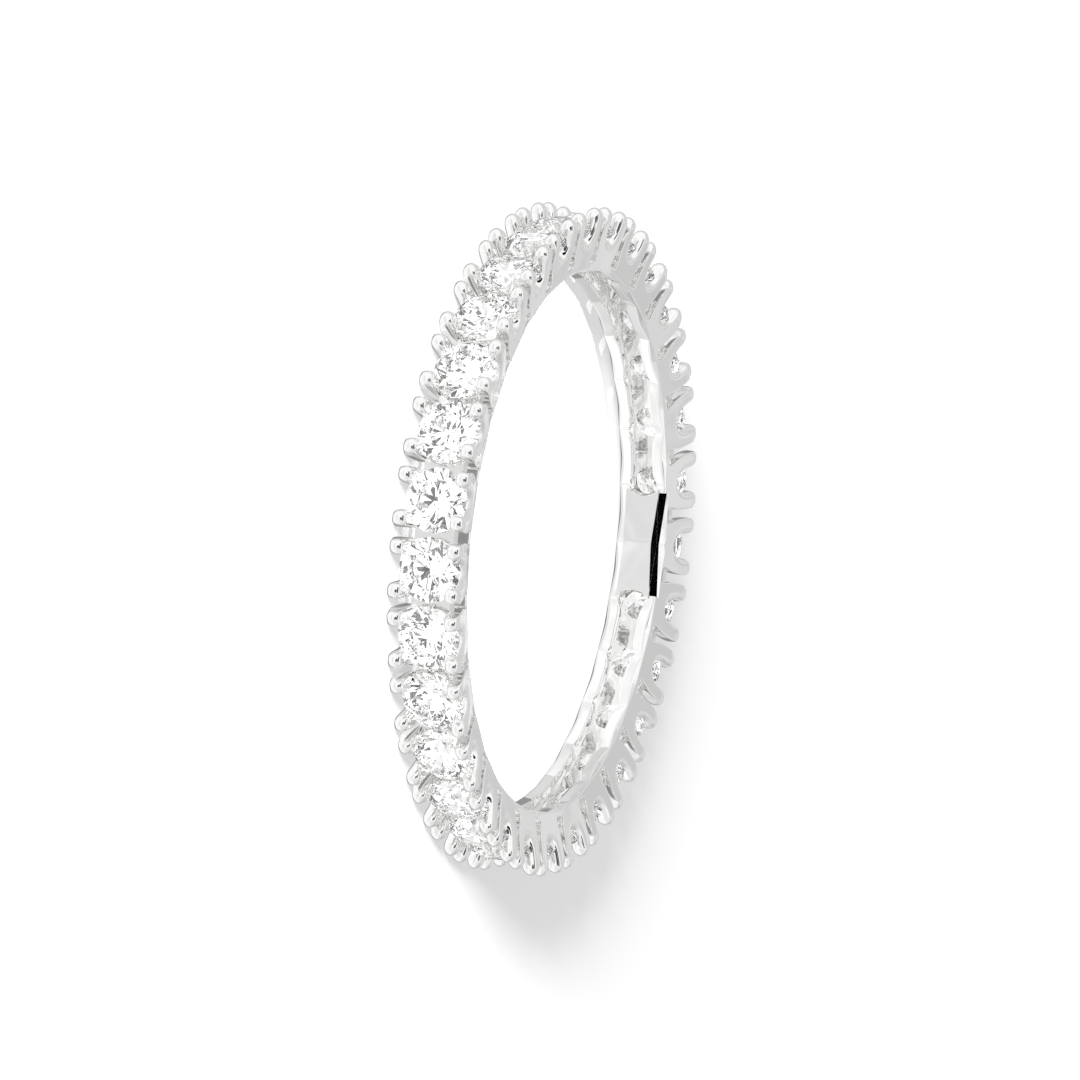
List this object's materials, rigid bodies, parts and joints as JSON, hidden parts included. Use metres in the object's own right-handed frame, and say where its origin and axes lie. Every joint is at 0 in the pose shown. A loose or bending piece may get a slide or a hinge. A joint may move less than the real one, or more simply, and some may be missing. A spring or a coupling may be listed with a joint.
{
  "type": "eternity ring",
  "caption": "Full eternity ring: a circle of round brilliants, each in four round claws, on two thin rails with an open gallery and one plain plate inside.",
  "frame": {"origin": "centre of the finger hole, on the surface that the lower claws stand on", "axes": "+Z along the finger hole, up when the ring lies on its side; +X out through stone_01, over the plain plate"},
  "size_m": [0.0213, 0.0214, 0.0024],
  "materials": {
    "white_gold": "rhodium-white, polished",
    "stone": "clear, faceted and polished"
  },
  "bodies": {
    "root": {"setting": "white_gold", "stone_01": "stone", "stone_02": "stone", "stone_03": "stone", "stone_04": "stone", "stone_05": "stone", "stone_06": "stone", "stone_07": "stone", "stone_08": "stone", "stone_09": "stone", "stone_10": "stone", "stone_11": "stone", "stone_12": "stone", "stone_13": "stone", "stone_14": "stone", "stone_15": "stone", "stone_16": "stone", "stone_17": "stone", "stone_18": "stone", "stone_19": "stone", "stone_20": "stone", "stone_21": "stone", "stone_22": "stone", "stone_23": "stone", "stone_24": "stone", "stone_25": "stone", "stone_26": "stone", "stone_27": "stone", "stone_28": "stone", "stone_29": "stone"}
  },
  "joints": []
}
